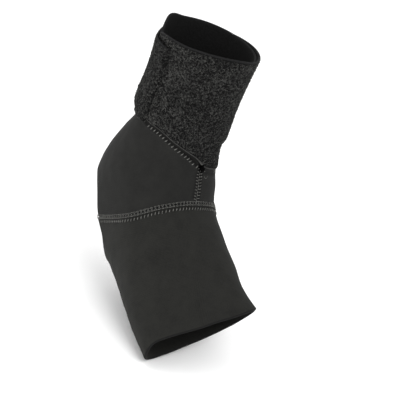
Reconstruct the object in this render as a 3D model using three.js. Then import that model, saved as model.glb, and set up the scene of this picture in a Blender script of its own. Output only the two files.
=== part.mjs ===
// Open-heel, open-toe ankle brace for a right foot, as it sits on the ankle.
// Millimetres, +Z up along the leg, toes towards -Y, the outer side of the ankle towards -X.
// The origin is the centre of the ankle joint, inside the hollow.
import * as THREE from "three";

// Cloth thicknesses and the running gap between pieces that touch
const NEOPRENE = 2.2;
const PLUSH = 1.8;
const HOOK = 0.6;
const GAP = 0.3;

// The form inside the brace, from the shin to the toes, one row for each section.
// x, y, z: centre. pitch: the section's turn from level, towards the toes. yaw: its turn towards the
// inner side. roll: its turn that lifts the inner side. front, back, outer, inner: reach from the centre.
// square: 2 is an ellipse, more is squarer.
const FORM_COLUMNS = ["x", "y", "z", "pitch", "yaw", "roll", "front", "back", "outer", "inner", "square"];
const FORM = [
  [0, 3, 140, 0, 0, 0, 38, 37, 35, 37, 2.0], // shin
  [0, 3, 113, 0, 0, 0, 34.5, 32, 32, 34, 2.0], // cuff top
  [0, 3, 88, 0, 0, 0, 32, 29.5, 30, 32, 2.0], // cuff middle
  [0, 3, 66, 0, 0, 0, 31, 29, 30, 31, 2.0], // calf end
  [0, 3, 46, 2, 0, 0, 29.5, 27, 28.5, 29.5, 2.0], // narrowest
  [0, 2, 28, 7, 0, 0, 30, 38, 32.5, 31, 2.0], // above the ankle bones
  [0, -2, 6, 18, 0, 2, 32, 55, 37, 35, 2.2], // ankle bones
  [0, -9, -19, 37, 0, 4, 37.5, 74, 34.5, 37.5, 2.2], // cross seam
  [0, -37, -36, 50, 3, 7, 29.5, 46, 38.5, 39, 2.2], // instep
  [0, -60, -49, 58, 7, 10, 24.5, 30, 42.5, 41, 2.3], // midfoot
  [-1, -82, -59.5, 62, 11, 13, 18.5, 21, 43, 43, 2.4], // forefoot
  [-2, -98.5, -66.5, 64, 13, 15, 15, 15, 42, 47.6, 2.4], // toe opening
  [-3, -115, -74, 64, 14, 16, 14, 14, 42, 56, 2.4], // toes
];
const ROW_SEAM = 7;
const ROW_TOE = 11;

// Cross seam: how many rows it drops below its row on its way from the front to the heel opening
const SEAM_DROP = [
  // turn, drop
  [-180, 0],
  [-110, 0.05],
  [-70, 0.12],
  [-35, 0.01],
  [0, 0],
  [30, 0.12],
  [60, 0.24],
  [85, 0.21],
  [110, 0.09],
  [180, 0],
];

// Toe edge: how many rows it lies beyond its row, on its slant across the toes
const TOE_SLANT = [
  // turn, rows
  [-180, 0],
  [-125, 0],
  [-95, 0.05],
  [-75, 0.1],
  [-55, 0.18],
  [-30, 0.2],
  [0, 0.09],
  [15, 0],
  [45, -0.16],
  [60, -0.2],
  [75, -0.14],
  [95, 0],
  [140, 0],
  [180, 0],
];

// Front seam: where round the leg it lies, and half of its gap, in degrees
const FRONT_SEAM = -9;
const FRONT_SLIT = 0.25;

// Heel opening: an oval on the back of the cross seam, in degrees round the form and in rows
const HEEL_HALF = 72;
const HEEL_UP = 1.0;
const HEEL_DOWN = 0.9;
const HEEL_UP_SQUARE = 3.2;
const HEEL_DOWN_SQUARE = 2.5;

// Top edge of the ankle panel, tucked under the cuff. turn: degrees from the shin towards the outer side.
const PANEL_TOP = [
  // turn, height
  [-180, 52],
  [-90, 52],
  [-45, 45],
  [-9, 38],
  [35, 49],
  [60, 53.5],
  [85, 55],
  [115, 51],
  [148, 50.5],
  [180, 52],
];

// Edges of the cuff, one long strip wound from its free outer end back to its inner end.
// The turn runs on past a full circle: -638 is the outer end, on the outer side of the ankle.
const CUFF_EDGES = [
  // turn, low edge, high edge
  [-638, 47, 105],
  [-612, 46, 105],
  [-590, 45, 105],
  [-540, 45, 109],
  [-450, 47, 112],
  [-408, 47.5, 112.5],
  [-390, 45, 113.5],
  [-378, 41, 114.5],
  [-369, 32, 115.5],
  [-350, 37.5, 116.5],
  [-325, 43.5, 116],
  [-300, 48, 113.5],
  [-275, 49.5, 112],
  [-262, 52.5, 111],
  [-245, 57, 108.8],
  [-230, 58, 106],
  [-210, 58, 116],
  [-180, 57, 114],
  [-150, 51, 113],
  [-120, 45.5, 112],
  [-90, 38.5, 111],
  [-60, 26.5, 110.5],
  [-45, 23.5, 110.5],
  [-30, 25, 110.5],
  [-9, 29.5, 112],
  [10, 39.5, 112],
  [30, 46, 112],
];

// The cuff lies on the panel at its low edge, then settles onto the leg within these heights
const SETTLE_START = 1;
const SETTLE_DONE = 26;

// Where the inner turn ends above the outer one's low edge, the outer turn settles below it within these drops
const STEP_START = 16;
const STEP_DONE = 4;

// Where the outer turn climbs over the inner end, and then over the hook strip
const CLIMB_START = -300;
const CLIMB_DONE = -328;
const HOOK_CLIMB_START = -588;
const HOOK_CLIMB_DONE = -602;
const HOOK_ENDS = [-634, -604];
const HOOK_MARGIN = 0.1;

const rad = THREE.MathUtils.degToRad;

// Smooth value of a table at a place, by Catmull-Rom through its rows
function catmull(a, b, c, d, u) {
  return 0.5 * (2 * b + (c - a) * u + (2 * a - 5 * b + 4 * c - d) * u * u + (3 * b - a - 3 * c + d) * u ** 3);
}

function formAt(row) {
  const last = FORM.length - 1;
  const i = Math.min(Math.max(Math.floor(row), 0), last - 1);
  const u = row - i;
  const pick = (k, column) => FORM[Math.min(Math.max(k, 0), last)][column];
  const values = FORM_COLUMNS.map((_, c) => catmull(pick(i - 1, c), pick(i, c), pick(i + 1, c), pick(i + 2, c), u));
  return Object.fromEntries(FORM_COLUMNS.map((name, c) => [name, values[c]]));
}

// Smooth height from a table of [turn, ...heights] with uneven steps
function edgeAt(table, turn, column) {
  const last = table.length - 1;
  let i = 0;
  while (i < last - 1 && table[i + 1][0] < turn) i += 1;
  const [t0, t1] = [table[i][0], table[i + 1][0]];
  const u = Math.min(Math.max((turn - t0) / (t1 - t0), 0), 1);
  const slope = (k) => {
    const [lo, hi] = [table[Math.max(k - 1, 0)], table[Math.min(k + 1, last)]];
    return ((hi[column] - lo[column]) / (hi[0] - lo[0])) * (t1 - t0);
  };
  const [p0, p1, m0, m1] = [table[i][column], table[i + 1][column], slope(i), slope(i + 1)];
  const share = u * u * (3 - 2 * u);
  return mix(p0, p1, share) + (u ** 3 - 2 * u * u + u) * m0 + (u ** 3 - u * u) * m1;
}

// A point of the form: row along the leg and foot, turn in degrees from the front to the outer side
function skin(row, turn) {
  const s = formAt(row);
  const pitch = rad(s.pitch);
  const yaw = rad(s.yaw);
  const roll = rad(s.roll);
  const along = new THREE.Vector3(0, -Math.sin(pitch), -Math.cos(pitch));
  const up = new THREE.Vector3(0, -Math.cos(pitch), Math.sin(pitch));
  const side = new THREE.Vector3(-Math.cos(yaw), 0, 0).addScaledVector(along, Math.sin(yaw));
  const front = up.clone().multiplyScalar(Math.cos(roll)).addScaledVector(side, Math.sin(roll));
  const outer = side.clone().multiplyScalar(Math.cos(roll)).addScaledVector(up, -Math.sin(roll));
  const c = Math.cos(rad(turn));
  const d = Math.sin(rad(turn));
  const bend = (v) => Math.sign(v) * Math.abs(v) ** (2 / s.square);
  const reachFront = bend(c) * (c > 0 ? s.front : s.back);
  const reachSide = bend(d) * (d > 0 ? s.outer : s.inner);
  return new THREE.Vector3(s.x, s.y, s.z).addScaledVector(front, reachFront).addScaledVector(outer, reachSide);
}

// A point off the form by a distance, outwards
function off(row, turn, distance) {
  const step = 0.02;
  const alongForm = skin(row + step, turn).sub(skin(row - step, turn));
  const roundForm = skin(row, turn + 1).sub(skin(row, turn - 1));
  const normal = roundForm.cross(alongForm).normalize();
  return skin(row, turn).addScaledVector(normal, distance);
}

// The row where the form has this height, on the leg
function rowAtHeight(height, turn) {
  let low = 0;
  let high = ROW_SEAM;
  for (let i = 0; i < 40; i += 1) {
    const middle = (low + high) / 2;
    if (skin(middle, turn).z > height) low = middle;
    else high = middle;
  }
  return (low + high) / 2;
}

// A row moved along the form by a distance in millimetres
function rowMoved(row, turn, distance) {
  const step = 0.02;
  const perRow = skin(row + step, turn).distanceTo(skin(row - step, turn)) / (2 * step);
  return row + distance / perRow;
}

// Smooth step from 0 at the start to 1 at the end
function ease(start, end, value) {
  const share = Math.min(Math.max((value - start) / (end - start), 0), 1);
  return share * share * (3 - 2 * share);
}

function mix(a, b, share) {
  return a + (b - a) * share;
}

// A closed wall between two skins over a grid of columns round the form and rows along it.
// point(i, j, distance): the skin at a share of the columns and rows, at a distance off the form.
function wall(columns, rows, near, far, closed, point) {
  const positions = [];
  const index = [];
  const lines = columns + (closed ? 0 : 1);
  for (const distance of [near, far]) {
    for (let i = 0; i < lines; i += 1) {
      for (let j = 0; j <= rows; j += 1) positions.push(...point(i / columns, j / rows, distance).toArray());
    }
  }
  const at = (skinNumber, i, j) => (skinNumber * lines + (closed ? i % columns : i)) * (rows + 1) + j;
  const quad = (a, b, c, d) => index.push(a, c, b, a, d, c);
  for (let i = 0; i < columns; i += 1) {
    for (let j = 0; j < rows; j += 1) {
      quad(at(1, i, j), at(1, i, j + 1), at(1, i + 1, j + 1), at(1, i + 1, j));
      quad(at(0, i, j), at(0, i + 1, j), at(0, i + 1, j + 1), at(0, i, j + 1));
    }
    quad(at(0, i, 0), at(1, i, 0), at(1, i + 1, 0), at(0, i + 1, 0));
    quad(at(0, i, rows), at(0, i + 1, rows), at(1, i + 1, rows), at(1, i, rows));
  }
  if (!closed) {
    for (let j = 0; j < rows; j += 1) {
      quad(at(0, 0, j), at(0, 0, j + 1), at(1, 0, j + 1), at(1, 0, j));
      quad(at(0, columns, j), at(1, columns, j), at(1, columns, j + 1), at(0, columns, j + 1));
    }
  }
  const geometry = new THREE.BufferGeometry();
  geometry.setAttribute("position", new THREE.Float32BufferAttribute(positions, 3));
  geometry.setIndex(index);
  geometry.computeVertexNormals();
  return geometry;
}

// How far the heel opening reaches from the cross seam at this turn: 0 beside it, 1 at the back
function heelReach(turn, square) {
  const fromBack = Math.abs(turn - 180) / HEEL_HALF;
  return fromBack >= 1 ? 0 : (1 - fromBack ** square) ** (1 / square);
}

// The same turn between -180 and 180
function fromFront(turn) {
  return ((((turn + 180) % 360) + 360) % 360) - 180;
}

function seamRow(turn) {
  return ROW_SEAM + edgeAt(SEAM_DROP, fromFront(turn), 1);
}

// Turns of the columns round the form, closer together at the heel opening's two sides
const FRONT_COLUMNS = 40;
const HEEL_COLUMNS = 24;
const ROUND_COLUMNS = FRONT_COLUMNS + HEEL_COLUMNS;
function turnOfColumn(share) {
  const column = share * ROUND_COLUMNS;
  const half = FRONT_COLUMNS / 2;
  const first = FRONT_SEAM;
  const last = FRONT_SEAM + 360;
  if (column <= half) return mix(first, 180 - HEEL_HALF, column / half);
  if (column >= half + HEEL_COLUMNS) return mix(last, 180 + HEEL_HALF, (ROUND_COLUMNS - column) / half);
  return 180 - HEEL_HALF * Math.cos((Math.PI * (column - half)) / HEEL_COLUMNS);
}

function footSleeve() {
  const point = (i, j, distance) => {
    const turn = turnOfColumn(i);
    const start = rowMoved(seamRow(turn) + HEEL_DOWN * heelReach(turn, HEEL_DOWN_SQUARE), turn, GAP / 2);
    const end = ROW_TOE + edgeAt(TOE_SLANT, fromFront(turn), 1);
    return off(mix(start, end, j), turn, distance);
  };
  return wall(ROUND_COLUMNS, 12, 0, NEOPRENE, true, point);
}

function panelTop(turn) {
  return edgeAt(PANEL_TOP, fromFront(turn), 1);
}

function anklePanel() {
  const point = (i, j, distance) => {
    const turn = Math.min(Math.max(turnOfColumn(i), FRONT_SEAM + FRONT_SLIT), FRONT_SEAM + 360 - FRONT_SLIT);
    const top = rowAtHeight(panelTop(turn), turn);
    const bottom = rowMoved(seamRow(turn) - HEEL_UP * heelReach(turn, HEEL_UP_SQUARE), turn, -GAP / 2);
    return off(mix(top, bottom, j), turn, distance);
  };
  return wall(ROUND_COLUMNS, 10, 0, NEOPRENE, false, point);
}

// How far the cuff's inner face stands off the form
function cuffLift(turn, height) {
  const onPanel = 1 - ease(panelTop(turn) + SETTLE_START, panelTop(turn) + SETTLE_DONE, height);
  const low = edgeAt(CUFF_EDGES, turn + 360, 1);
  const onItself = ease(CLIMB_START, CLIMB_DONE, turn) * ease(low - STEP_START, low - STEP_DONE, height);
  const onHook = ease(HOOK_CLIMB_START, HOOK_CLIMB_DONE, turn);
  return GAP + onPanel * NEOPRENE + onItself * (PLUSH + GAP) + onHook * (HOOK + GAP);
}

function cuffPoint(turn, share, distance) {
  const height = mix(edgeAt(CUFF_EDGES, turn, 2), edgeAt(CUFF_EDGES, turn, 1), share);
  return off(rowAtHeight(height, turn), turn, cuffLift(turn, height) + distance);
}

function cuff() {
  const [first] = CUFF_EDGES[0];
  const [last] = CUFF_EDGES[CUFF_EDGES.length - 1];
  return wall(110, 9, 0, PLUSH, false, (i, j, distance) => cuffPoint(mix(first, last, i), j, distance));
}

function hookStrip() {
  const [first, last] = HOOK_ENDS;
  const point = (i, j, distance) =>
    cuffPoint(mix(first, last, i), mix(HOOK_MARGIN, 1 - HOOK_MARGIN, j), distance);
  return wall(6, 9, -GAP - HOOK, -GAP, false, point);
}

const neoprene = new THREE.MeshStandardMaterial({ color: 0x323230, roughness: 0.85, metalness: 0 });
const plush = new THREE.MeshStandardMaterial({ color: 0x2b2b2a, roughness: 0.95, metalness: 0 });
const hook = new THREE.MeshStandardMaterial({ color: 0x1c1c1c, roughness: 0.6, metalness: 0 });

const brace = new THREE.Group();
for (const [name, geometry, material] of [
  ["foot_sleeve", footSleeve(), neoprene],
  ["ankle_panel", anklePanel(), neoprene],
  ["cuff", cuff(), plush],
  ["hook_strip", hookStrip(), hook],
]) {
  const mesh = new THREE.Mesh(geometry, material);
  mesh.name = name;
  brace.add(mesh);
}

export default brace;
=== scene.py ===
import math

import bpy
import numpy as np
from mathutils import Matrix, Vector


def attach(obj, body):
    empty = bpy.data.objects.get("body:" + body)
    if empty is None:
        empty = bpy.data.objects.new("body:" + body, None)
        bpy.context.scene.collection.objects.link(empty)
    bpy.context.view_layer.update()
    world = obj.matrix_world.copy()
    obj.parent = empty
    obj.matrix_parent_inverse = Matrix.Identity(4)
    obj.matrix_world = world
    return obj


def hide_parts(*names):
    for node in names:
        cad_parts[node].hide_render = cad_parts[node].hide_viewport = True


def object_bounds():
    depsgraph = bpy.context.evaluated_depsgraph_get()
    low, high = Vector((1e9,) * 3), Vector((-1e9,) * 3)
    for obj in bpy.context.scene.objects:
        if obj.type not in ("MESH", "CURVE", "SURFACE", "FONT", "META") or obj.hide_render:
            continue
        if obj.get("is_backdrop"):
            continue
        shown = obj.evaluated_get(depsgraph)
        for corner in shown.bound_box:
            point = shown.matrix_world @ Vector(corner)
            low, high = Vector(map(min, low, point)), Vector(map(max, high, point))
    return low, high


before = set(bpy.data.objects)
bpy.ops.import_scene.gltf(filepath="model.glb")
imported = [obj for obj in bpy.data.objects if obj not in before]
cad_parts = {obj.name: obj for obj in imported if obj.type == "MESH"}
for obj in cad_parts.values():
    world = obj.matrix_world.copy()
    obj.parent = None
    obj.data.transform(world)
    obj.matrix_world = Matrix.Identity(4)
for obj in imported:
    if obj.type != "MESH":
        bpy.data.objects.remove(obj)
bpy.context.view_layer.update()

bl_info = {
    "name": "Ankle brace",
    "version": (1, 0, 0),
    "blender": (4, 5, 0),
    "location": "3D View > Sidebar > Ankle brace",
    "description": "Builds a worn neoprene ankle brace with a wound looped-pile cuff",
    "category": "Add Mesh",
}

MM = 0.001

# The form inside the brace in millimetres, from the shin to the toes, one row for each section.
# x, y, z: centre. pitch, yaw, roll: turns of the section, in degrees. front, back, outer, inner: reach.
# square: its squareness.
FORM = np.array([
    [0, 3, 140, 0, 0, 0, 38, 37, 35, 37, 2.0],
    [0, 3, 113, 0, 0, 0, 34.5, 32, 32, 34, 2.0],
    [0, 3, 88, 0, 0, 0, 32, 29.5, 30, 32, 2.0],
    [0, 3, 66, 0, 0, 0, 31, 29, 30, 31, 2.0],
    [0, 3, 46, 2, 0, 0, 29.5, 27, 28.5, 29.5, 2.0],
    [0, 2, 28, 7, 0, 0, 30, 38, 32.5, 31, 2.0],
    [0, -2, 6, 18, 0, 2, 32, 55, 37, 35, 2.2],
    [0, -9, -19, 37, 0, 4, 37.5, 74, 34.5, 37.5, 2.2],
    [0, -37, -36, 50, 3, 7, 29.5, 46, 38.5, 39, 2.2],
    [0, -60, -49, 58, 7, 10, 24.5, 30, 42.5, 41, 2.3],
    [-1, -82, -59.5, 62, 11, 13, 18.5, 21, 43, 43, 2.4],
    [-2, -98.5, -66.5, 64, 13, 15, 15, 15, 42, 47.6, 2.4],
    [-3, -115, -74, 64, 14, 16, 14, 14, 42, 56, 2.4],
])
# Rows of the form at which the cross seam and the toe edge lie
ROW_SEAM = 7
ROW_TOE = 11

# Thickness of the neoprene, the cuff and the hook strip, and the gap between two layers, in millimetres
NEOPRENE = 2.2
PLUSH = 1.8
HOOK = 0.6
GAP = 0.3

# How many rows the cross seam drops, round the leg
SEAM_DROP = np.array([
    [-180, 0], [-110, 0.05], [-70, 0.12], [-35, 0.01], [0, 0],
    [30, 0.12], [60, 0.24], [85, 0.21], [110, 0.09], [180, 0],
])
# How many rows the toe edge lies beyond its row, on its slant across the toes
TOE_SLANT = np.array([
    [-180, 0], [-125, 0], [-95, 0.05], [-75, 0.1], [-55, 0.18], [-30, 0.2], [0, 0.09],
    [15, 0], [45, -0.16], [60, -0.2], [75, -0.14], [95, 0], [140, 0], [180, 0],
])
# Turn of the front seam, and half the slit between the panel's ends, in degrees
FRONT_SEAM = -9
FRONT_SLIT = 0.25
# The heel opening: half its width in degrees, its reach up and down in rows, and the squareness of each half
HEEL_HALF = 72
HEEL_UP = 1.0
HEEL_DOWN = 0.9
HEEL_UP_SQUARE = 3.2
HEEL_DOWN_SQUARE = 2.5
# The cross seam's sewing fades out within this share of the opening's reach
HEEL_SEWN = 0.06

# Top edge of the ankle panel: turn, height
PANEL_TOP = np.array([
    [-180, 52], [-90, 52], [-45, 45], [-9, 38], [35, 49],
    [60, 53.5], [85, 55], [115, 51], [148, 50.5], [180, 52],
])

# Edges of the wound cuff: turn, low edge, high edge
CUFF_EDGES = np.array([
    [-638, 47, 105], [-612, 46, 105], [-590, 45, 105], [-540, 45, 109],
    [-450, 47, 112], [-408, 47.5, 112.5], [-390, 45, 113.5], [-378, 41, 114.5],
    [-369, 32, 115.5], [-350, 37.5, 116.5], [-325, 43.5, 116], [-300, 48, 113.5],
    [-275, 49.5, 112], [-262, 52.5, 111], [-245, 57, 108.8], [-230, 58, 106],
    [-210, 58, 116], [-180, 57, 114], [-150, 51, 113], [-120, 45.5, 112],
    [-90, 38.5, 111], [-60, 26.5, 110.5], [-45, 23.5, 110.5], [-30, 25, 110.5],
    [-9, 29.5, 112], [10, 39.5, 112], [30, 46, 112],
])
# Turns of the cuff's outer and inner end
CUFF_END = -638
CUFF_START = 30
# Millimetres above the panel's top edge within which the cuff comes down to the leg
SETTLE = (1, 26)
# Turns within which the cuff climbs onto its inner layer, and onto the hook strip
CLIMB = (-300, -328)
HOOK_CLIMB = (-588, -602)
# Millimetres below its inner layer's low edge within which the outer layer steps over it
STEP = (9, 0.5)
# Turns of the hook strip's ends, and the share of the cuff's width that it leaves bare at each side
HOOK_ENDS = (-634, -604)
HOOK_MARGIN = 0.1
# The cuff's outer end is thinned to this share and pressed down this far, within these turns
END_THIN = (-638, -629)
END_THICKNESS = 0.35
END_PRESS = (-638, -634)
END_PRESSED = HOOK + GAP + 0.2
# The cuff's inner layer rises where it shows at the front: how far, from which turns on, and how many millimetres
# below the outer layer's low edge and above its own
FREE_RISE = 0.3
FREE_TURNS = (-200, -110)
FREE_BELOW = (7, 1)
FREE_ABOVE = (0, 9)

# The cross seam, in millimetres from its line: a ladder of crossed threads from above it to below it, and a row of
# strokes below that. Its painted shade is weaker at the sides, past these turns.
CROSS_PITCH = 2.6
CROSS_LADDER = (-1.7, 1.1)
CROSS_STROKES = 3.4
CROSS_FADE = (64, 80)
# The front seam, with a column of rungs this far to each side of its line, from this height down
FRONT_PITCH = 2.2
FRONT_COLUMN = 1.7
FRONT_TOP = 29.0
# Radius of the leg at the front seam
FRONT_RADIUS = 33
# The seams of the cuff's low edge: turns, and distance of the strokes below the edge. They lie on its raised roll.
EDGE_PITCH = 3.0
EDGE_LIFT = 0.45
OUTER_SEAM = (-367, -279.5, 3.6)
INNER_SEAM = (-160, -38, 1.6)
# Half the width of a sewn ridge, its height, the dip beside it, and how far its stitches stand above it
SEAM_HALF = 3.6
SEAM_RIDGE = 0.3
SEAM_DIP = 0.2
SEAM_THREAD = 0.1

# Step in rows for directions along the form
ROW_STEP = 0.02


def ease(start, end, value):
    """Smooth step from 0 at the start to 1 at the end."""
    share = np.clip((value - start) / (end - start), 0, 1)
    return share * share * (3 - 2 * share)


def form_at(row):
    """The section at each row, by Catmull-Rom through the table."""
    last = len(FORM) - 1
    i = np.clip(np.floor(row).astype(int), 0, last - 1)
    u = (row - i)[:, None]
    a, b, c, d = (FORM[np.clip(i + k, 0, last)] for k in (-1, 0, 1, 2))
    value = 0.5 * (2 * b + (c - a) * u + (2 * a - 5 * b + 4 * c - d) * u**2 + (3 * b - a - 3 * c + d) * u**3)
    return value.T


def edge_at(table, turn, column=1):
    """Smooth value of an edge table at each turn."""
    turns, values = table[:, 0], table[:, column]
    last = len(turns) - 1
    i = np.searchsorted(turns[1:last], turn)
    step = turns[i + 1] - turns[i]
    u = np.clip((turn - turns[i]) / step, 0, 1)

    def slope(k):
        low, high = np.maximum(k - 1, 0), np.minimum(k + 1, last)
        return (values[high] - values[low]) / (turns[high] - turns[low]) * step

    return (
        (2 * u**3 - 3 * u**2 + 1) * values[i] + (u**3 - 2 * u**2 + u) * slope(i)
        + (3 * u**2 - 2 * u**3) * values[i + 1] + (u**3 - u**2) * slope(i + 1)
    )


def skin(row, turn):
    """Points of the form, in millimetres."""
    x, y, z, pitch, yaw, roll, front, back, outer, inner, square = form_at(row)
    pitch, yaw, roll, turn = np.radians(pitch), np.radians(yaw), np.radians(roll), np.radians(turn)
    zero = np.zeros_like(x)
    along = np.stack([zero, -np.sin(pitch), -np.cos(pitch)], -1)
    up = np.stack([zero, -np.cos(pitch), np.sin(pitch)], -1)
    side = np.stack([-np.cos(yaw), zero, zero], -1) + along * np.sin(yaw)[:, None]
    to_front = up * np.cos(roll)[:, None] + side * np.sin(roll)[:, None]
    to_outer = side * np.cos(roll)[:, None] - up * np.sin(roll)[:, None]
    c, s = np.cos(turn), np.sin(turn)
    power = 2 / square
    reach_front = np.sign(c) * np.abs(c) ** power * np.where(c > 0, front, back)
    reach_side = np.sign(s) * np.abs(s) ** power * np.where(s > 0, outer, inner)
    return np.stack([x, y, z], -1) + to_front * reach_front[:, None] + to_outer * reach_side[:, None]


def frame_at(row, turn):
    """The form's point, its direction along, its direction round and its outward normal."""
    along = skin(row + ROW_STEP, turn) - skin(row - ROW_STEP, turn)
    around = skin(row, turn + 1) - skin(row, turn - 1)
    normal = np.cross(around, along)
    unit = lambda v: v / np.linalg.norm(v, axis=1)[:, None]
    return skin(row, turn), unit(along), unit(around), unit(normal)


def off(row, turn, distance):
    """Points at a distance off the form."""
    point, _, _, normal = frame_at(row, turn)
    return point + normal * np.asarray(distance)[:, None]


def row_length(row, turn):
    """Millimetres along the form for each row."""
    along = skin(row + ROW_STEP, turn) - skin(row - ROW_STEP, turn)
    return np.linalg.norm(along, axis=1) / (2 * ROW_STEP)


def row_at_height(height, turn):
    """The row of the leg at each height, by halving."""
    low, high = np.zeros_like(turn), np.full_like(turn, ROW_SEAM)
    for _ in range(40):
        middle = (low + high) / 2
        above = skin(middle, turn)[:, 2] > height
        low, high = np.where(above, middle, low), np.where(above, high, middle)
    return (low + high) / 2


def heel_reach(turn, square):
    """How far the heel opening reaches at each turn, as a share."""
    from_back = np.minimum(np.abs(turn - 180) / HEEL_HALF, 1)
    return (1 - from_back**square) ** (1 / square)


def from_front(turn):
    """Each turn as one between -180 and 180."""
    return (turn + 180) % 360 - 180


def seam_row(turn):
    return ROW_SEAM + edge_at(SEAM_DROP, from_front(turn))


def panel_top(turn):
    return edge_at(PANEL_TOP, from_front(turn))


def cuff_lift(turn, height):
    """How far the cuff's inner face stands off the form."""
    top = panel_top(turn)
    on_panel = 1 - ease(top + SETTLE[0], top + SETTLE[1], height)
    low = edge_at(CUFF_EDGES, turn + 360)
    on_itself = ease(*CLIMB, turn) * ease(low - STEP[0], low - STEP[1], height)
    on_hook = ease(*HOOK_CLIMB, turn)
    return GAP + on_panel * NEOPRENE + on_itself * (PLUSH + GAP) + on_hook * (HOOK + GAP)


def cuff_thickness(turn):
    return PLUSH * (END_THICKNESS + (1 - END_THICKNESS) * ease(*END_THIN, turn))


def cuff_base(turn, height):
    """The dressed cuff's inner face.

    Its outer end is pressed down past the hook strip, and its inner layer stands up where nothing presses it.
    """
    pressed = END_PRESSED * (1 - ease(*END_PRESS, turn))
    over = edge_at(CUFF_EDGES, turn - 360)
    free = FREE_RISE * ease(*FREE_TURNS, turn) * (1 - ease(over - FREE_BELOW[0], over - FREE_BELOW[1], height))
    free *= ease(*FREE_ABOVE, height - edge_at(CUFF_EDGES, turn))
    return cuff_lift(turn, height) - pressed + free


def cuff_height(turn, share):
    """Height on the cuff, from its high edge at share 0 to its low edge at 1."""
    high, low = edge_at(CUFF_EDGES, turn, 2), edge_at(CUFF_EDGES, turn)
    return high + (low - high) * share


def waves(points, length, seed):
    """Smooth wandering value from -1 to 1 at each point, with hills about this many millimetres long."""
    random = np.random.default_rng(seed)
    total = np.zeros(len(points))
    for _ in range(7):
        direction = random.normal(size=3)
        direction /= np.linalg.norm(direction)
        pace, phase = random.uniform(0.7, 1.5), random.uniform(0, 6.28)
        total += np.sin(points @ direction * (2 * math.pi / length) * pace + phase)
    return total / 3.2


def linear(code):
    """sRGB hex colour to linear RGBA."""
    values = [int(code[i:i + 2], 16) / 255 for i in (1, 3, 5)]
    return [v / 12.92 if v <= 0.04045 else ((v + 0.055) / 1.055) ** 2.4 for v in values] + [1.0]


def add_node(tree, kind, inputs=None, **settings):
    """Adds a node, sets its properties, and sets or links its inputs."""
    node = tree.nodes.new(kind)
    for name, value in settings.items():
        setattr(node, name, value)
    for name, value in (inputs or {}).items():
        if isinstance(value, bpy.types.NodeSocket):
            tree.links.new(value, node.inputs[name])
        else:
            node.inputs[name].default_value = value
    return node


def new_material(name):
    """A material and its empty node tree."""
    material = bpy.data.materials.new(name)
    material.use_nodes = True
    tree = material.node_tree
    tree.nodes.clear()
    return material, tree


def ramp(tree, factor, stops):
    """A colour ramp through (place, hex colour) stops."""
    node = add_node(tree, "ShaderNodeValToRGB", {"Fac": factor})
    elements = node.color_ramp.elements
    while len(elements) < len(stops):
        elements.new(0.5)
    for element, (place, code) in zip(elements, stops):
        element.position, element.color = place, linear(code)
    return node.outputs["Color"]


def mixed(tree, factor, a, b):
    node = add_node(tree, "ShaderNodeMix", {0: factor, 6: a, 7: b}, data_type="RGBA")
    return node.outputs[2]


def finish_material(tree, colour, roughness, height, distance, strength, specular=0.2, sheen=0.0):
    """Adds the bump, the shader and the output."""
    bump = add_node(tree, "ShaderNodeBump", {"Height": height, "Distance": distance, "Strength": strength})
    shader = add_node(tree, "ShaderNodeBsdfPrincipled", {
        "Base Color": colour, "Roughness": roughness, "Normal": bump.outputs["Normal"],
        "Specular IOR Level": specular, "Sheen Weight": sheen, "Sheen Roughness": 0.5,
    })
    add_node(tree, "ShaderNodeOutputMaterial", {"Surface": shader.outputs["BSDF"]})


def noise(tree, place, scale, detail=2.0, roughness=0.6):
    return add_node(tree, "ShaderNodeTexNoise", {
        "Vector": place, "Scale": scale, "Detail": detail, "Roughness": roughness,
    }).outputs["Fac"]


def multiply_add(tree, value, factor, added):
    node = add_node(tree, "ShaderNodeMath", {0: value, 1: factor, 2: added}, operation="MULTIPLY_ADD")
    return node.outputs[0]


def neoprene_material(name, colour):
    # Foam neoprene faced with nylon jersey: even matte charcoal with fine knitted wales 0.5 mm apart, drawn
    # 0.9 mm apart so that they show, and a slightly mottled tone where the knit is stretched. The 'seam' attribute
    # mixes in painted shade: nearly black between the threads of a seam, and a painted shadow under the cuff's
    # edge.
    material, tree = new_material(name)
    place = add_node(tree, "ShaderNodeTexCoord")
    wales = add_node(tree, "ShaderNodeTexWave", {
        "Vector": place.outputs["UV"], "Scale": 0.35, "Distortion": 0.6, "Detail": 1.0, "Detail Scale": 1.2,
    }, bands_direction="X")
    courses = add_node(tree, "ShaderNodeTexWave", {
        "Vector": place.outputs["UV"], "Scale": 0.28, "Distortion": 0.8, "Detail": 1.0, "Detail Scale": 1.5,
    }, bands_direction="Y")
    knit = add_node(tree, "ShaderNodeMath", {
        0: wales.outputs["Fac"], 1: courses.outputs["Fac"],
    }, operation="MULTIPLY").outputs[0]
    mottle = noise(tree, place.outputs["Object"], 90.0, 4.0, 0.65)
    grain = noise(tree, place.outputs["Object"], 900.0)
    tone = multiply_add(tree, mottle, 0.55, multiply_add(tree, knit, 0.22, 0.0))
    tone = multiply_add(tree, grain, 0.3, tone)
    shade = ramp(tree, tone, [(0.25, "#141413"), (0.5, colour), (0.8, "#21211F")])
    # Painted shade from the 'seam' attribute: the colour is mixed towards near black
    seam = add_node(tree, "ShaderNodeAttribute", attribute_name="seam")
    shade = mixed(tree, seam.outputs["Fac"], shade, linear("#020202"))
    height = multiply_add(tree, grain, 0.6, knit)
    finish_material(tree, shade, 0.85, height, 0.00012, 0.5, specular=0.12, sheen=0.012)
    return material


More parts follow.
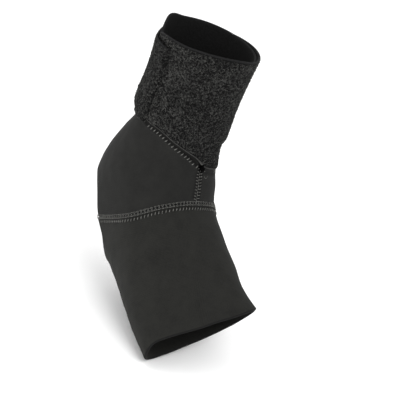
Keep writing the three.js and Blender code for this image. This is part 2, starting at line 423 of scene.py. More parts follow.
def pile_ground_material(colour):
    # Knitted ground of the looped pile: matte, and painted nearly black as painted shade for the depth between the
    # loops.
    material, tree = new_material("pile_ground_painted_shade")
    place = add_node(tree, "ShaderNodeTexCoord").outputs["Object"]
    clump = noise(tree, place, 700.0, 3.0, 0.7)
    cells = add_node(tree, "ShaderNodeTexVoronoi", {"Vector": place, "Scale": 900.0}).outputs["Distance"]
    shade = ramp(tree, clump, [(0.35, "#050505"), (0.6, colour), (0.8, "#181817")])
    finish_material(tree, shade, 0.95, multiply_add(tree, cells, -1.0, clump), 0.0006, 0.8, specular=0.1)
    return material


def pile_loop_material(colour):
    # Brushed nylon loops: matte charcoal, each tuft a little lighter or darker than the next.
    material, tree = new_material("brushed_loops")
    place = add_node(tree, "ShaderNodeTexCoord").outputs["Object"]
    tuft = noise(tree, place, 700.0)
    tone = multiply_add(tree, noise(tree, place, 60.0), 0.3, tuft)
    shade = ramp(tree, tone, [(0.42, "#090908"), (0.6, colour), (0.78, "#40403E")])
    finish_material(tree, shade, 0.8, tuft, 0.0001, 0.3, specular=0.2, sheen=0.02)
    return material


def lining_material(colour):
    # Smooth knitted lining inside the cuff: matte black with fine grain.
    material, tree = new_material("cuff_lining")
    place = add_node(tree, "ShaderNodeTexCoord").outputs["Object"]
    grain = noise(tree, place, 800.0)
    shade = ramp(tree, grain, [(0.3, "#0A0A0A"), (0.7, colour)])
    finish_material(tree, shade, 0.9, grain, 0.0001, 0.5, specular=0.12)
    return material


def edge_material(name, colour, deep="#0B0B0B"):
    # Cut edge of the foam laminate, or the cuff's folded one: plain foam, smoother than the cloth. Its colour is
    # partly
    # painted light: the neoprene's black cut edge is darkened further as a painted shadow where it meets the leg,
    # the cuff's folded low edge is lighter as a painted highlight, and the cuff's top edge is darker as painted
    # shade.
    material, tree = new_material(name)
    foam = noise(tree, add_node(tree, "ShaderNodeTexCoord").outputs["Object"], 1500.0)
    shade = ramp(tree, foam, [(0.3, deep), (0.7, colour)])
    finish_material(tree, shade, 0.8, foam, 0.0001, 0.4, specular=0.15)
    return material


def thread_material(name, colour, specular=0.35):
    # Spun polyester sewing thread: twisted plies that catch a small highlight.
    material, tree = new_material(name)
    plies = noise(tree, add_node(tree, "ShaderNodeTexCoord").outputs["Object"], 1800.0)
    shade = ramp(tree, plies, [(0.3, "#070707"), (0.6, colour)])
    finish_material(tree, shade, 0.6, plies, 0.0001, 0.5, specular)
    return material


def hook_material(colour):
    # Moulded nylon hook tape: dark, with hooks about 1.2 mm apart.
    material, tree = new_material("nylon_hook_tape")
    place = add_node(tree, "ShaderNodeTexCoord").outputs["Object"]
    hooks = add_node(tree, "ShaderNodeTexVoronoi", {"Vector": place, "Scale": 830.0}).outputs["Distance"]
    shade = ramp(tree, hooks, [(0.1, colour), (0.6, "#050505")])
    finish_material(tree, shade, 0.55, hooks, 0.0004, 0.8)
    return material


def paint(obj, *materials):
    """Adds materials in the order of the faces' slots, which clearing the list first would reset."""
    for material in materials:
        obj.data.materials.append(material)


def smooth(obj):
    """Shades smooth all but the sharp edges."""
    bpy.ops.object.select_all(action="DESELECT")
    obj.select_set(True)
    bpy.context.view_layer.objects.active = obj
    bpy.ops.object.shade_smooth_by_angle(angle=math.radians(50))


def link_mesh(name, points, faces, uvs=None, slots=None, seam=None):
    """A mesh object from points in millimetres."""
    mesh = bpy.data.meshes.new(name)
    mesh.from_pydata((np.asarray(points) * MM).tolist(), [], faces)
    if uvs is not None:
        layer = mesh.uv_layers.new(name="cloth")
        layer.data.foreach_set("uv", np.asarray(uvs, dtype=np.float32).ravel())
    if slots is not None:
        mesh.polygons.foreach_set("material_index", slots)
    if seam is not None:
        layer = mesh.attributes.new("seam", "FLOAT", "POINT")
        layer.data.foreach_set("value", np.asarray(seam, dtype=np.float32))
    mesh.validate()
    mesh.update()
    obj = bpy.data.objects.new(name, mesh)
    bpy.context.collection.objects.link(obj)
    return obj


# Steps of a wall's rounded rim, and the share of its thickness at the first columns from an open end
RIM_STEPS = 4
END_TAPER = (0.15, 0.6, 0.85, 0.97)
# Material slots of a wall
FACE, RIM, LINING, TOP = 0, 1, 2, 3
# Millimetres of cloth in the UV map for a degree and for a row, and how far the lining lies beside the face
UV_DEGREE = 2 * math.pi * 36 / 360
UV_ROW = 25
UV_LINING = 40


def flat(turn, row):
    """No relief, lift or seam."""
    return np.zeros_like(turn)


def cloth_wall(name, turns, start_row, end_row, thickness, rows, lift, relief, seam, closed, crowd=1.0):
    """A wall of cloth with rounded edges, from a start row to an end row at each turn.

    lift(turn, row) is how far the inner face stands off the form, relief(turn, row) is added to both faces,
    and seam(turn, row) is how strongly painted shade darkens the cloth at a seam. crowd above 1 crowds the rows
    towards the start.
    """
    count = len(turns)
    radius = thickness / 2 * np.ones(count)
    first = start_row + radius / row_length(start_row, turns)
    last = end_row - radius / row_length(end_row, turns)
    profile = []
    for k in range(rows + 1):
        profile.append((first + (last - first) * (k / rows) ** crowd, 1.0))
    for k in range(1, RIM_STEPS):
        angle = math.pi * k / RIM_STEPS
        profile.append((last + (end_row - last) * math.sin(angle), math.cos(angle)))
    for k in range(rows, -1, -1):
        profile.append((first + (last - first) * (k / rows) ** crowd, -1.0))
    for k in range(1, RIM_STEPS):
        angle = math.pi * k / RIM_STEPS
        profile.append((first - (first - start_row) * math.sin(angle), -math.cos(angle)))
    size = len(profile)
    half = radius.copy()
    if not closed:
        for k, thin in enumerate(END_TAPER):
            half[k] *= thin
            half[-1 - k] *= thin
    grid, uv_grid, seam_grid = [], [], []
    for row, side in profile:
        distance = lift(turns, row) + radius + side * half + relief(turns, row)
        grid.append(off(row, turns, distance))
        uv_grid.append(np.stack([turns * UV_DEGREE, row * UV_ROW + (UV_LINING if side < 0 else 0)], -1))
        seam_grid.append(seam(turns, row))
    points = np.stack(grid, 1).reshape(-1, 3)
    uv_at = np.stack(uv_grid, 1)
    faces, uvs, slots = [], [], []
    outer_end, inner_start, inner_end = rows, rows + RIM_STEPS, 2 * rows + RIM_STEPS
    slot_at = [FACE] * rows + [RIM] * RIM_STEPS + [LINING] * rows + [TOP] * RIM_STEPS
    for i in range(count if closed else count - 1):
        j = (i + 1) % count
        turn_on = (turns[j] + (360 if j == 0 else 0)) * UV_DEGREE
        for k in range(size):
            m = (k + 1) % size
            faces.append((i * size + k, j * size + k, j * size + m, i * size + m))
            a, b = uv_at[i, k], uv_at[i, m]
            uvs.extend((a, (turn_on, a[1]), (turn_on, b[1]), b))
            slots.append(slot_at[k])
    if not closed:
        for start, turned in ((0, False), ((count - 1) * size, True)):
            ring = [start + k for k in range(size)]
            strips = [(ring[k], ring[inner_end - k], ring[inner_end - k - 1], ring[k + 1]) for k in range(rows)]
            strips.append(tuple(reversed(ring[outer_end:inner_start + 1])))
            strips.append(tuple(reversed(ring[inner_end:] + ring[:1])))
            for face in strips:
                face = face if turned else tuple(reversed(face))
                faces.append(face)
                uvs.extend([uv_at[start // size, p - start] for p in face])
                slots.append(FACE)
    return link_mesh(name, points, faces, uvs, slots, np.stack(seam_grid, 1).ravel())


def round_turns(columns):
    """Even turns round the form from the front seam."""
    return FRONT_SEAM + 360 * np.arange(columns) / columns


def seam_gap(turn, row):
    """Millimetres from the cross seam, along the cloth: below it is positive."""
    line = seam_row(turn)
    return (row - line) * row_length((row + line) / 2, turn)


def front_gap(turn, row):
    """Millimetres from the front seam, round the leg."""
    return from_front(turn - FRONT_SEAM) * math.radians(1) * FRONT_RADIUS


def band(gap, low, high, soft=0.8):
    """1 between two distances from a line, fading to 0 beside them."""
    return ease(low - soft, low + soft, gap) * (1 - ease(high - soft, high + soft, gap))


def ridge(gap):
    """A sewn ridge with two rounded halves, over a shallow dip beside it."""
    share = np.abs(gap) / SEAM_HALF
    top = np.where(share < 1, np.sqrt(np.maximum(1 - (2 * share - 1) ** 2 * 0.8, 0)), 0)
    dip = -SEAM_DIP * np.exp(-((share - 1.3) / 0.4) ** 2)
    return SEAM_RIDGE * top * (share < 1) + dip * (share >= 0.9)


def pucker(gap, along, pitch=7.5, depth=0.1, fade=6.0):
    """Small gathers that fade away from a seam."""
    return depth * np.sin(along * 2 * math.pi / pitch) * np.exp(-(np.abs(gap) / fade))


def sewn_on(turn, square):
    """1 where the cross seam is sewn and 0 at the heel opening, whose half has this squareness."""
    return 1 - ease(0, HEEL_SEWN, heel_reach(turn % 360, square))


def cross_relief(turn, row, square):
    """Ridge and gathers of the cross seam."""
    gap = seam_gap(turn, row)
    return sewn_on(turn, square) * (ridge(gap) + pucker(gap, turn * 0.6))


def cross_shade(turn, row, square):
    """Painted shade at the cross seam: dark holes between its threads, and a painted shadow beside them."""
    gap = seam_gap(turn, row)
    high, low = CROSS_LADDER
    shade = np.maximum(band(gap, high, low, 0.6), 0.5 * band(gap, low, CROSS_STROKES + 0.8))
    shade = shade * (1 - 0.4 * ease(*CROSS_FADE, np.abs(from_front(turn))))
    return sewn_on(turn, square) * shade


def soft_form(turn, row):
    """Slow unevenness of cloth that is stretched over a foot."""
    points = skin(row, turn)
    return 0.3 * waves(points, 34, 5) + 0.1 * waves(points, 13, 6)


def rides(obj, slot, *nodes):
    """Parents a piece to the root body, and hides the CAD nodes that it replaces. Its slot is not used."""
    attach(obj, "root")
    if nodes:
        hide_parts(*nodes)


def template_of(obj):
    """The points and faces of a small object, which is then removed."""
    points = np.array([v.co[:] for v in obj.data.vertices])
    # Blender orders a sphere's faces differently from run to run
    rings = [tuple(p.vertices) for p in obj.data.polygons]
    faces = sorted(ring[ring.index(min(ring)):] + ring[:ring.index(min(ring))] for ring in rings)
    mesh = obj.data
    bpy.data.objects.remove(obj)
    bpy.data.meshes.remove(mesh)
    return points, faces


def stitch_template(length, width, height):
    """One stitch of thread along X, humped where it stands over the cloth, in millimetres."""
    bpy.ops.object.select_all(action="DESELECT")
    bpy.ops.mesh.primitive_uv_sphere_add(segments=8, ring_count=6, radius=1.0, rotation=(0, math.pi / 2, 0))
    bpy.ops.object.transform_apply(location=True, rotation=True, scale=True)
    points, faces = template_of(bpy.context.object)
    ends = np.abs(points[:, 0])
    points = points * np.array([length / 2, width / 2, height / 2])
    points[:, 2] -= height * 0.55 * ends**2.5
    return points, faces


def loop_template(width, thread):
    """One loop of pile standing on the cloth: a bit more than half of a thin ring with closed ends."""
    bpy.ops.object.select_all(action="DESELECT")
    bpy.ops.mesh.primitive_torus_add(
        major_segments=8, minor_segments=3, major_radius=width / 2, minor_radius=thread / 2,
        rotation=(math.pi / 2, 0, 0),
    )
    bpy.ops.object.transform_apply(location=True, rotation=True, scale=True)
    bpy.ops.object.mode_set(mode="EDIT")
    bpy.ops.mesh.select_all(action="SELECT")
    bpy.ops.mesh.bisect(plane_co=(0, 0, -0.1 * width), plane_no=(0, 0, 1), clear_inner=True, use_fill=True)
    bpy.ops.object.mode_set(mode="OBJECT")
    return template_of(bpy.context.object)


def copies(name, template, places):
    """Copies of a small template as one mesh. places are (point, x, y, z) in millimetres and unit vectors."""
    points, faces = template
    count = len(points)
    origin, x, y, z = (np.asarray(v) for v in places)
    placed = (
        origin[:, None, :] + points[None, :, 0:1] * x[:, None, :]
        + points[None, :, 1:2] * y[:, None, :] + points[None, :, 2:3] * z[:, None, :]
    )
    all_faces = [tuple(p + n * count for p in face) for n in range(len(origin)) for face in faces]
    obj = link_mesh(name, placed.reshape(-1, 3), all_faces)
    obj.data.polygons.foreach_set("use_smooth", [True] * len(obj.data.polygons))
    return obj


def turned(along, across, normal, degrees):
    """The two directions in the surface, turned about the normal."""
    angle = np.radians(degrees)[:, None]
    x = along * np.cos(angle) + across * np.sin(angle)
    return x, np.cross(normal, x)


def beside(turns, rows, pitch, aside, shift):
    """Even places along a line on the form, moved aside from it.

    Gives the turn and row of each place, and the line's direction, the direction aside and the normal there.
    """
    points = off(rows, turns, np.full_like(turns, NEOPRENE))
    length = np.concatenate([[0], np.cumsum(np.linalg.norm(np.diff(points, axis=0), axis=1))])
    at = np.arange(pitch * (0.5 + shift), length[-1], pitch)
    turn, row = np.interp(at, length, turns), np.interp(at, length, rows)
    line = np.stack([
        np.interp(at + 0.5, length, axis) - np.interp(at - 0.5, length, axis) for axis in points.T
    ], -1)
    line /= np.linalg.norm(line, axis=1)[:, None]
    _, along, around, normal = frame_at(row, turn)
    away = np.cross(line, normal)
    away *= np.sign(np.sum(away * along, axis=1))[:, None] if abs(turns[-1] - turns[0]) > 1 else 1
    degree = np.linalg.norm(skin(row, turn + 0.5) - skin(row, turn - 0.5), axis=1)
    new_row = row + np.sum(away * along, axis=1) * aside / row_length(row, turn)
    new_turn = turn + np.sum(away * around, axis=1) * aside / degree
    return new_turn, new_row, line, away, frame_at(new_row, new_turn)[3]


def sewn(template, turns, rows, pitch, aside, degrees, lift, shift=0.0):
    """Places for a row of stitches along a line on the form."""
    turn, row, line, away, normal = beside(turns, rows, pitch, aside, shift)
    x, y = turned(line, away, normal, np.full_like(turn, degrees))
    return template, (off(row, turn, lift + soft_form(turn, row)), x, y, normal)


def hex_colour(name, description, default):
    return bpy.props.StringProperty(name=name, description=description, default=default)


def millimetres(name, description, default):
    return bpy.props.FloatProperty(
        name=name, description=description, default=default * MM, unit="LENGTH", subtype="DISTANCE",
    )


class BraceColours(bpy.types.PropertyGroup):
    """Colours of the brace, as sRGB hex."""

    neoprene: hex_colour("Neoprene", "Jersey face of the neoprene", "#1B1B1A")
    # A little lighter than the panel's neoprene: painted light on the sleeve, which faces the lamps; the cloth is
    # the same
    stretched: hex_colour("Stretched neoprene", "Jersey face where it is stretched over the foot", "#1E1E1C")
    pile: hex_colour("Pile", "Loops of the cuff", "#1B1B1A")
    # Nearly black: painted shade for the depth between the loops, and a painted shadow on the cuff's cut ends
    ground: hex_colour("Ground", "Cloth under the loops", "#0D0D0D")
    lining: hex_colour("Lining", "Inside of the cuff", "#131313")
    # Black foam, darkened further as a painted shadow where the cut edge meets the leg
    edge: hex_colour("Neoprene edge", "Cut edges of the neoprene", "#0E0E0E")
    # Much lighter than the cuff's cloth: a painted highlight along the folded low edge
    fold: hex_colour("Cuff edge", "Folded low edge of the cuff", "#424240")
    # Darker than the folded low edge of the same cloth: painted shade on the top edge, which faces into the shaded
    # inside
    top: hex_colour("Cuff top", "Top edge of the cuff", "#161617")
    thread: hex_colour("Thread", "Sewing thread", "#6A6A66")
    hook: hex_colour("Hook tape", "Hidden hook tape", "#0C0C0C")


class BraceSizes(bpy.types.PropertyGroup):
    """Sizes of the fine parts."""

    loops: bpy.props.IntProperty(
        name="Loops", description="Loops on each quarter of the outer layer", default=4100, min=100,
    )
    loop_size: millimetres("Loop size", "Width of one loop of pile", 1.35)
    loop_thread: millimetres("Loop thread", "Thickness of a loop", 0.4)
    thread_width: millimetres("Thread width", "Width of a sewn stitch", 0.7)
    light: bpy.props.FloatProperty(name="Light", description="Strength of the lamps", default=1.0, min=0.0)


class BRACE_OT_sleeve(bpy.types.Operator):
    """Build the foot sleeve"""

    bl_idname = "brace.sleeve"
    bl_label = "Foot sleeve"

    COLUMNS = 200
    ROWS = 90
    CROWD = 1.4

    def execute(self, context):
        turns = round_turns(self.COLUMNS)
        start = seam_row(turns) + HEEL_DOWN * heel_reach(turns % 360, HEEL_DOWN_SQUARE)
        start -= GAP / 2 / row_length(start, turns)
        end = ROW_TOE + edge_at(TOE_SLANT, from_front(turns))

        def relief(turn, row):
            return cross_relief(turn, row, HEEL_DOWN_SQUARE) + soft_form(turn, row)

        # Painted shade at the cross seam's threads
        def seam(turn, row):
            return cross_shade(turn, row, HEEL_DOWN_SQUARE)

        obj = cloth_wall(
            "foot_sleeve_cloth", turns, start, end, NEOPRENE, self.ROWS, flat, relief, seam, True, self.CROWD,
        )
        colours = context.scene.brace_colours
        # The sleeve's lighter neoprene colour is painted light
        neoprene = neoprene_material("sleeve_jersey_painted_light", colours.stretched)
        edge = edge_material("neoprene_cut_edge", colours.edge)
        paint(obj, neoprene, edge, neoprene, edge)
        smooth(obj)
        rides(obj, "neoprene", "foot_sleeve")
        return {"FINISHED"}


class BRACE_OT_panel(bpy.types.Operator):
    """Build the ankle panel"""

    bl_idname = "brace.panel"
    bl_label = "Ankle panel"

    COLUMNS = 281
    ROWS = 90

    def execute(self, context):
        turns = np.linspace(FRONT_SEAM + FRONT_SLIT, FRONT_SEAM + 360 - FRONT_SLIT, self.COLUMNS)
        top = row_at_height(panel_top(turns), turns)
        end = seam_row(turns) - HEEL_UP * heel_reach(turns % 360, HEEL_UP_SQUARE)
        end += GAP / 2 / row_length(end, turns)

        def under_cuff(turn, row):
            """Millimetres below the cuff's low edge, down the leg."""
            low = np.minimum(edge_at(CUFF_EDGES, from_front(turn) - 360), edge_at(CUFF_EDGES, cuff_inner(turn)))
            return low - skin(row, turn)[:, 2]

        def above_cross(turn, row):
            """The front seam ends above the cross seam."""
            return 1 - ease(-4.5, -3, seam_gap(turn, row))

        def relief(turn, row):
            seam = cross_relief(turn, row, HEEL_UP_SQUARE)
            front = ridge(front_gap(turn, row)) * above_cross(turn, row)
            below = under_cuff(turn, row)
            # A roll and a groove along the edge's seam
            edge = 0.35 * band(below, 3.5, 6.0) - 0.25 * band(below, 0.5, 2.5)
            raised = np.maximum(seam, front) + np.minimum(seam, 0) + edge + soft_form(turn, row)
            return ease(-2, 1, below) * raised

        # Painted shade: dark holes at the cross seam's and the front seam's threads, and a painted shadow in a
        # band under the cuff's edge, among its seam's strokes
        def seam(turn, row):
            across = cross_shade(turn, row, HEEL_UP_SQUARE)
            front = 0.7 * band(np.abs(front_gap(turn, row)), 0.5, 2.9) * above_cross(turn, row)
            return np.maximum(np.maximum(across, front), 0.5 * band(under_cuff(turn, row), 2.2, 4.6, 1.0))

        obj = cloth_wall("ankle_panel_cloth", turns, top, end, NEOPRENE, self.ROWS, flat, relief, seam, False)
        colours = context.scene.brace_colours
        neoprene = neoprene_material("neoprene_jersey", colours.neoprene)
        edge = edge_material("panel_cut_edge", colours.edge)
        paint(obj, neoprene, edge, neoprene, edge)
        smooth(obj)
        rides(obj, "neoprene", "ankle_panel")
        return {"FINISHED"}


def cuff_inner(turn):
    """The turn of the cuff's inner layer at each place round the leg."""
    around = from_front(turn)
    return np.where(around > CUFF_START, around - 360, around)


class BRACE_OT_cuff(bpy.types.Operator):
    """Build the wound cuff's cloth"""

    bl_idname = "brace.cuff"
    bl_label = "Cuff"

    COLUMNS = 400
    ROWS = 50
    # Degrees from each end to the columns close to it, and to the first even one
    NEAR_END = (0, 0.15, 0.5, 1.0)
    EVEN_FROM = 1.6

    def execute(self, context):
        ends = np.array(self.NEAR_END)
        middle = np.linspace(CUFF_END + self.EVEN_FROM, CUFF_START - self.EVEN_FROM, self.COLUMNS)
        turns = np.concatenate([CUFF_END + ends, middle, CUFF_START - ends[::-1]])
        high = row_at_height(cuff_height(turns, 0), turns)
        low = row_at_height(cuff_height(turns, 1), turns)
        lift = lambda turn, row: cuff_base(turn, skin(row, turn)[:, 2])

        def fold(turn, row):
            """The folded edges stand a little proud."""
            height = skin(row, turn)[:, 2]
            near = np.minimum(height - cuff_height(turn, 1), cuff_height(turn, 0) - height)
            return 0.3 * band(near, 0.0, 1.6, 0.5)

        obj = cloth_wall(
            "cuff_cloth", turns, high, low, cuff_thickness(turns), self.ROWS, lift, fold, flat, False,
        )
        colours = context.scene.brace_colours
        ground = pile_ground_material(colours.ground)
        # The folded low edge's light colour is a painted highlight
        folded = edge_material("cuff_folded_edge_painted_highlight", colours.fold, "#20201F")
        lining = lining_material(colours.lining)
        # The top edge's dark colour is painted shade
        top = edge_material("cuff_top_edge_painted_shade", colours.top)
        paint(obj, ground, folded, lining, top)
        smooth(obj)
        rides(obj, "looped_pile", "cuff")
        return {"FINISHED"}


class BRACE_OT_hook(bpy.types.Operator):
    """Build the hidden hook strip"""

    bl_idname = "brace.hook"
    bl_label = "Hook strip"

    COLUMNS = 31
    ROWS = 24

    def execute(self, context):
        turns = np.linspace(*HOOK_ENDS, self.COLUMNS)
        high = row_at_height(cuff_height(turns, HOOK_MARGIN), turns)
        low = row_at_height(cuff_height(turns, 1 - HOOK_MARGIN), turns)
        lift = lambda turn, row: cuff_lift(turn, skin(row, turn)[:, 2]) - GAP - HOOK
        obj = cloth_wall("hook_strip_tape", turns, high, low, HOOK, self.ROWS, lift, flat, flat, False)
        tape = hook_material(context.scene.brace_colours.hook)
        paint(obj, tape, tape, tape, tape)
        smooth(obj)
        rides(obj, "hook_tape", "hook_strip")
        return {"FINISHED"}


class BRACE_OT_pile(bpy.types.Operator):
    """Build the loops of the cuff's pile"""

    bl_idname = "brace.pile"
    bl_label = "Pile"

    # The outer layer's loops end at this turn, and cover this share of its width from the high edge
    OUTER_END = -278.4
    OUTER_SHARE = (0.02, 0.982)
    # The same for the inner layer, whose loops are built where it is bare and this far in under the outer one
    INNER_TURNS = (-279, -4)
    INNER_SHARE = (0.02, 0.98)
    UNDER = 1.5
    # Degrees that a loop leans, and its size beside the template's
    LEAN = (35, 82)
    SCALE = (0.6, 1.25)
    # How deep it is rooted in the cloth
    ROOT = 0.1

    def execute(self, context):
        sizes, colours = context.scene.brace_sizes, context.scene.brace_colours
        material = pile_loop_material(colours.pile)
        template = loop_template(sizes.loop_size / MM, sizes.loop_thread / MM)
        edges = np.linspace(CUFF_END + 0.2, self.OUTER_END, 5)
        for k in range(4):
            random = np.random.default_rng(k + 3)
            turn = random.uniform(edges[k], edges[k + 1], sizes.loops)
            share = random.uniform(*self.OUTER_SHARE, sizes.loops)
            self.lay(f"cuff_pile_{k + 1}", template, material, turn, share, random)
        random = np.random.default_rng(9)
        turn = random.uniform(*self.INNER_TURNS, sizes.loops * 2)
        share = random.uniform(*self.INNER_SHARE, len(turn))
        height = cuff_height(turn, share)
        low, high = cuff_height(turn - 360, 1), cuff_height(turn - 360, 0)
        bare = (height < low + self.UNDER) | (height > high - self.UNDER)
        self.lay("cuff_pile_under", template, material, turn[bare], share[bare], random)
        return {"FINISHED"}

    def lay(self, name, template, material, turn, share, random):
        """Loops that lean every way, as one piece."""
        count = len(turn)
        height = cuff_height(turn, share)
        row = row_at_height(height, turn)
        _, along, around, normal = frame_at(row, turn)
        base = off(row, turn, cuff_base(turn, height) + cuff_thickness(turn) - self.ROOT)
        x, y = turned(around, along, normal, random.uniform(0, 360, count))
        lean = np.radians(random.uniform(*self.LEAN, count))[:, None]
        z = normal * np.cos(lean) + y * np.sin(lean)
        y = np.cross(z, x)
        size = random.uniform(*self.SCALE, count)[:, None]
        obj = copies(name, template, (base, x * size, y * size, z * size))
        paint(obj, material)
        rides(obj, "looped_pile")


class BRACE_OT_seams(bpy.types.Operator):
    """Sew the seams"""

    bl_idname = "brace.seams"
    bl_label = "Seams"

    def execute(self, context):
        sizes, colours = context.scene.brace_sizes, context.scene.brace_colours
        width = sizes.thread_width / MM
        self.thread = thread_material("sewing_thread", colours.thread)
        high, low = CROSS_LADDER
        ladder = low - high
        # Stitches: length, width and height
        cross = stitch_template(math.hypot(ladder, CROSS_PITCH) * 1.05, width * 0.36, 0.45)
        stroke = stitch_template(2.4, width * 0.85, 0.7)
        rail = stitch_template(CROSS_PITCH * 0.9, width * 0.55, 0.6)
        far_rail = stitch_template(CROSS_PITCH * 0.8, width * 0.45, 0.5)
        slant = math.degrees(math.atan2(ladder, CROSS_PITCH))
        top = NEOPRENE + SEAM_RIDGE + SEAM_THREAD

        side = 180 - HEEL_HALF
        turns = np.linspace(-side + 0.5, side - 0.5, 500)
        rows = seam_row(turns)
        middle = (high + low) / 2
        self.sew("cross_seam_stitches", [
            sewn(cross, turns, rows, CROSS_PITCH, middle, slant, top),
            sewn(cross, turns, rows, CROSS_PITCH, middle, -slant, top),
            sewn(rail, turns, rows, CROSS_PITCH, low, 0, top),
            sewn(far_rail, turns, rows, CROSS_PITCH, high, 0, top),
            sewn(stroke, turns, rows, CROSS_PITCH, CROSS_STROKES, 65, top - SEAM_THREAD, shift=0.3),
        ])

        stop = seam_row(np.array([FRONT_SEAM]))
        stop += high / row_length(stop, np.array([FRONT_SEAM]))
        start = row_at_height(np.array([FRONT_TOP]), np.array([float(FRONT_SEAM)]))
        rows = np.linspace(start[0], stop[0], 200)
        turns = np.full_like(rows, FRONT_SEAM)
        rung = stitch_template(2.2, width * 0.75, 0.6)
        line = stitch_template(FRONT_PITCH * 0.9, width * 0.6, 0.5)
        self.sew("front_seam_stitches", [
            sewn(rung, turns, rows, FRONT_PITCH, -FRONT_COLUMN, 78, top),
            sewn(rung, turns, rows, FRONT_PITCH, FRONT_COLUMN, -78, top, shift=0.3),
            sewn(line, turns, rows, FRONT_PITCH, 0.0, 0, top - SEAM_THREAD),
        ])

        edge = stitch_template(2.8, width * 1.1, 0.9)
        for name, (first, last, aside) in (
            ("cuff_seam_outer_stitches", OUTER_SEAM), ("cuff_seam_inner_stitches", INNER_SEAM),
        ):
            turns = np.linspace(first, last, 400)
            rows = row_at_height(cuff_height(turns, 1), turns)
            self.sew(name, [sewn(edge, turns, rows, EDGE_PITCH, aside, 70, NEOPRENE + EDGE_LIFT)])
        return {"FINISHED"}

    def sew(self, name, groups):
        """Joins groups of stitches into one piece."""
        parts = [copies(f"{name}_{k}", template, places) for k, (template, places) in enumerate(groups)]
        bpy.ops.object.select_all(action="DESELECT")
        for part in parts:
            part.select_set(True)
        bpy.context.view_layer.objects.active = parts[0]
        if len(parts) > 1:
            bpy.ops.object.join()
        obj = bpy.context.view_layer.objects.active
        obj.name = obj.data.name = name
        paint(obj, self.thread)
        rides(obj, "neoprene")


class BRACE_OT_knot(bpy.types.Operator):
    """Tie a bar tack of nearly black strands where the seams meet, as painted shade for the dark gap there, and
    its loose thread ends
    """

    bl_idname = "brace.knot"
    bl_label = "Bar tack"

    # The tack: how many strands, where it lies, how far they scatter, and how far they stand off the cloth
    STRANDS = 36
    TURN = -9.5
    HEIGHT = 27.6
    SCATTER = (1.7, 1.2)
    STANDS = (0.2, 3.0)
    # The loose ends: turns, heights, distances off the cloth and directions
    END_TURNS = (-14.0, -20.0, -5.0)
    END_HEIGHTS = (24.0, 21.5, 33.5)
    END_STANDS = (0.3, 0.3, 3.3)
    END_DIRECTIONS = (20.0, 200.0, 120.0)

    def execute(self, context):
        random = np.random.default_rng(12)
        count = self.STRANDS
        turn = np.full(count, self.TURN) + random.normal(0, self.SCATTER[0], count)
        height = self.HEIGHT + random.normal(0, self.SCATTER[1], count)
        row = row_at_height(height, turn)
        _, along, around, normal = frame_at(row, turn)
        base = off(row, turn, NEOPRENE + random.uniform(*self.STANDS, count))
        x, y = turned(around, along, normal, random.uniform(0, 360, count))
        template = stitch_template(3.2, 1.0, 1.2)
        knot = copies("bar_tack_painted_shade", template, (base, x, y, normal))
        # Nearly black and barely shiny: painted shade for the dark gap where the seams meet
        paint(knot, thread_material("tack_thread_painted_shade", "#020202", 0.02))
        rides(knot, "neoprene")

        turn = np.array(self.END_TURNS)
        row = row_at_height(np.array(self.END_HEIGHTS), turn)
        _, along, around, normal = frame_at(row, turn)
        base = off(row, turn, NEOPRENE + np.array(self.END_STANDS))
        x, y = turned(around, along, normal, np.array(self.END_DIRECTIONS))
        ends = copies("thread_ends", loop_template(4.0, 0.4), (base, x, normal, -y))
        paint(ends, thread_material("loose_thread", context.scene.brace_colours.thread))
        rides(ends, "neoprene")
        return {"FINISHED"}


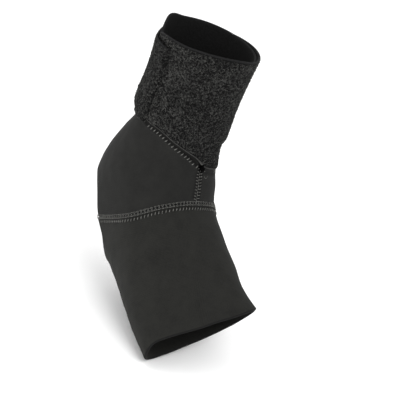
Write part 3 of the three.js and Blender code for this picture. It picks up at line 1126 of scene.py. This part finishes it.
class BRACE_OT_stage(bpy.types.Operator):
    """Set up the floor, the lights and the camera"""

    bl_idname = "brace.stage"
    bl_label = "Stage"

    # The camera: its angles in degrees, its distance, metres to a pixel at the origin, the origin's pixel, and the
    # picture's side in pixels
    AZIMUTH = -42.0
    ELEVATION = 24.0
    ROLL = 21.0
    DISTANCE = 1.3
    SCALE = 0.72 * MM
    ORIGIN = (160.0, 180.0)
    IMAGE = 400
    # The floor's side, and how far it lies below the brace
    FLOOR = 12.0
    FLOOR_DROP = 1.5 * MM
    WORLD = 1.1

    def camera_axes(self):
        """The camera's right, its up and the way back to it."""
        a, e, r = (math.radians(v) for v in (self.AZIMUTH, self.ELEVATION, self.ROLL))
        back = Vector((math.sin(a) * math.cos(e), -math.cos(a) * math.cos(e), math.sin(e)))
        right = Vector((math.cos(a), math.sin(a), 0))
        up = back.cross(right)
        return right * math.cos(r) + up * math.sin(r), up * math.cos(r) - right * math.sin(r), back

    def execute(self, context):
        scene = context.scene
        right, up, back = self.camera_axes()
        middle = self.IMAGE / 2
        target = right * (middle - self.ORIGIN[0]) * self.SCALE + up * (self.ORIGIN[1] - middle) * self.SCALE
        camera = bpy.data.cameras.new("camera")
        camera.lens = camera.sensor_width * self.DISTANCE / self.SCALE / self.IMAGE
        viewer = bpy.data.objects.new("camera", camera)
        viewer.matrix_world = Matrix.Translation(target + back * self.DISTANCE) @ Matrix(
            (right, up, back)
        ).transposed().to_4x4()
        scene.collection.objects.link(viewer)
        scene.camera = viewer

        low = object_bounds()[0]
        bpy.ops.object.select_all(action="DESELECT")
        bpy.ops.mesh.primitive_plane_add(size=self.FLOOR, location=(0, 0, low[2] - self.FLOOR_DROP))
        floor = context.object
        floor.name = "floor"
        bpy.ops.object.transform_apply(location=True, rotation=True, scale=True)
        material, tree = new_material("pale_floor")
        shader = add_node(tree, "ShaderNodeBsdfPrincipled", {"Base Color": linear("#FFFFFF"), "Roughness": 0.9})
        add_node(tree, "ShaderNodeOutputMaterial", {"Surface": shader.outputs["BSDF"]})
        paint(floor, material)
        # The low lamp stands below the floor
        floor.visible_shadow = False
        floor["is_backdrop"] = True

        world = bpy.data.worlds.new("studio")
        world.use_nodes = True
        background = world.node_tree.nodes["Background"]
        background.inputs["Color"].default_value = linear("#FFFFFF")
        background.inputs["Strength"].default_value = self.WORLD
        scene.world = world
        scene.view_settings.view_transform = "Standard"

        # Lamps: place in metres, power in watts and size
        strength = scene.brace_sizes.light
        for name, place, power, size in (
            ("key", -right * 0.85 - up * 0.05 + back * 0.9, 4.5, 0.8),
            ("low", -right * 0.7 - up * 0.95 + back * 0.45, 3.5, 0.6),
            ("fill", right * 0.9 + up * 0.45 + back * 0.8, 1.0, 1.0),
            ("top", -right * 0.2 + up * 1.1 + back * 0.5, 2.0, 0.6),
            ("front", Vector((-0.3, -0.9, 0.9)), 5.0, 0.6),
        ):
            light = bpy.data.lights.new(name, "AREA")
            light.energy, light.size = power * strength, size
            lamp = bpy.data.objects.new(name, light)
            lamp.location = place
            lamp.rotation_euler = place.to_track_quat("Z", "Y").to_euler()
            scene.collection.objects.link(lamp)
        return {"FINISHED"}


class BRACE_PT_panel(bpy.types.Panel):
    """Lists the brace's pieces"""

    bl_idname = "BRACE_PT_panel"
    bl_label = "Ankle brace"
    bl_space_type = "VIEW_3D"
    bl_region_type = "UI"
    bl_category = "Ankle brace"

    def draw(self, context):
        for operator in OPERATORS:
            self.layout.operator(operator.bl_idname)
        for group in (context.scene.brace_sizes, context.scene.brace_colours):
            for name in group.__annotations__:
                self.layout.prop(group, name)


OPERATORS = (
    BRACE_OT_sleeve, BRACE_OT_panel, BRACE_OT_cuff, BRACE_OT_hook, BRACE_OT_pile, BRACE_OT_seams, BRACE_OT_knot,
    BRACE_OT_stage,
)
CLASSES = (BraceColours, BraceSizes) + OPERATORS + (BRACE_PT_panel,)


def register():
    for item in CLASSES:
        bpy.utils.register_class(item)
    bpy.types.Scene.brace_colours = bpy.props.PointerProperty(type=BraceColours)
    bpy.types.Scene.brace_sizes = bpy.props.PointerProperty(type=BraceSizes)


def unregister():
    del bpy.types.Scene.brace_sizes
    del bpy.types.Scene.brace_colours
    for item in reversed(CLASSES):
        bpy.utils.unregister_class(item)


def main():
    register()
    bpy.ops.brace.sleeve()
    bpy.ops.brace.panel()
    bpy.ops.brace.cuff()
    bpy.ops.brace.hook()
    bpy.ops.brace.pile()
    bpy.ops.brace.seams()
    bpy.ops.brace.knot()
    bpy.ops.brace.stage()


if __name__ == "__main__":
    main()
